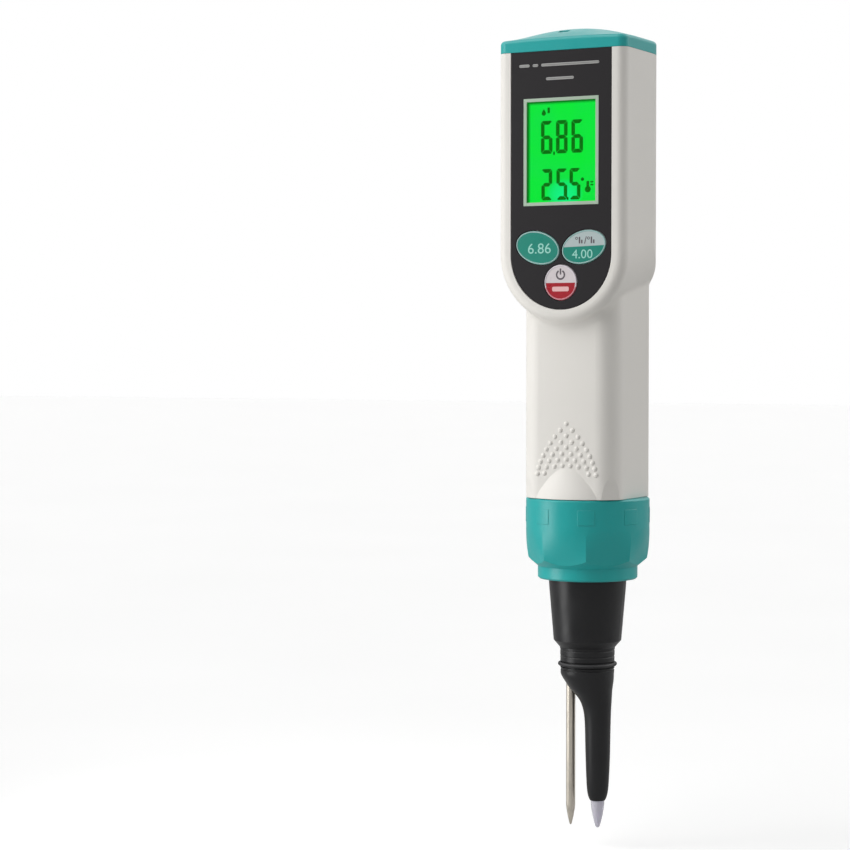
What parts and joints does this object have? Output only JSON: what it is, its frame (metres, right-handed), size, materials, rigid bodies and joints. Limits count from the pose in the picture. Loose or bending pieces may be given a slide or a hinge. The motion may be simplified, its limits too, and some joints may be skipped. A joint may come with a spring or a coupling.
{
  "type": "soil ph test pen",
  "caption": "Handheld pH and temperature test pen with back-lit display, oval keys, screw collar and a replaceable probe with glass tip and steel rod.",
  "frame": {"origin": "on the pen's long axis at the lower end face of the locking collar", "axes": "+Z along the pen towards the battery cap, -Y towards the keypad and display, +X to the right seen from the keypad side"},
  "size_m": [0.0444, 0.0416, 0.2585],
  "materials": {
    "white_abs": "fine moulded texture",
    "teal_abs": "fine moulded texture",
    "panel_black": "satin overlay",
    "frame_grey": "satin",
    "window_clear": "clear",
    "lcd_green": "back-lit display cell",
    "light_guide": "translucent",
    "board_green": "solder mask",
    "chip_black": "moulded package",
    "contact_metal": "plated",
    "steel_fastener": "turned",
    "key_teal": "printed key top",
    "key_silver": "printed key top",
    "key_red": "printed key top",
    "plunger_white": "moulded",
    "seal_rubber": "moulded",
    "tray_black": "moulded",
    "cell_steel": "plated",
    "socket_black": "moulded",
    "wire_sheath": "insulation",
    "probe_black": "satin moulded",
    "probe_glass": "blown glass",
    "silver": "drawn wire",
    "rod_steel": "satin",
    "bead_black": "epoxy bead"
  },
  "bodies": {
    "casing": {"front_shell": "white_abs", "rear_cover": "white_abs", "cover_screws": "steel_fastener", "board_screws": "steel_fastener", "face_panel": "panel_black", "lcd_frame": "frame_grey", "display_window": "window_clear", "lcd_cell": "lcd_green", "backlight": "light_guide", "lcd_pins": "contact_metal", "main_board": "board_green", "processor_chip": "chip_black", "amplifier_chip": "chip_black", "switch_bodies": "chip_black", "board_contacts": "contact_metal", "electrode_socket": "socket_black", "socket_gasket": "seal_rubber", "socket_nut": "socket_black", "socket_contacts": "contact_metal", "signal_wires": "wire_sheath"},
    "left_key": {"left_key": "key_teal", "left_plunger": "plunger_white"},
    "right_key": {"right_key": "key_silver", "right_plunger": "plunger_white"},
    "power_key": {"power_key": "key_red", "power_plunger": "plunger_white"},
    "battery_drawer": {"top_cap": "teal_abs", "cap_gasket": "seal_rubber", "battery_tray": "tray_black", "button_cells": "cell_steel", "battery_spring": "steel_fastener", "contact_disc": "contact_metal", "tray_terminals": "contact_metal"},
    "electrode": {"electrode_body": "probe_black", "neck_ring": "seal_rubber", "flange_seal": "seal_rubber", "pin_plate": "socket_black", "contact_pins": "contact_metal", "glass_tip": "probe_glass", "silver_wire": "silver", "glass_stopper": "seal_rubber", "temperature_rod": "rod_steel", "thermistor": "bead_black", "probe_leads": "wire_sheath"},
    "collar": {"locking_collar": "teal_abs"}
  },
  "joints": [
    {"name": "left_key_press", "type": "slide", "parent": "casing", "child": "left_key", "axis": [0, 1, 0], "range_m": [0, 0.0003]},
    {"name": "right_key_press", "type": "slide", "parent": "casing", "child": "right_key", "axis": [0, 1, 0], "range_m": [0, 0.0003]},
    {"name": "power_key_press", "type": "slide", "parent": "casing", "child": "power_key", "axis": [0, 1, 0], "range_m": [0, 0.0003]},
    {"name": "battery_drawer_pull", "type": "slide", "parent": "casing", "child": "battery_drawer", "axis": [0, 0, 1], "range_m": [0, 0.045]},
    {"name": "electrode_release", "type": "slide", "parent": "casing", "child": "electrode", "axis": [0, 0, -1], "range_m": [0, 0.006]},
    {"name": "collar_turn", "type": "hinge", "parent": "electrode", "child": "collar", "pos_m": [0, 0, 0.01], "axis": [0, 0, -1], "range_deg": [0, 720]}
  ],
  "couplings": [
    {"joint": "collar_turn", "follows": "electrode_release", "rad_per_m": 2094.4}
  ]
}
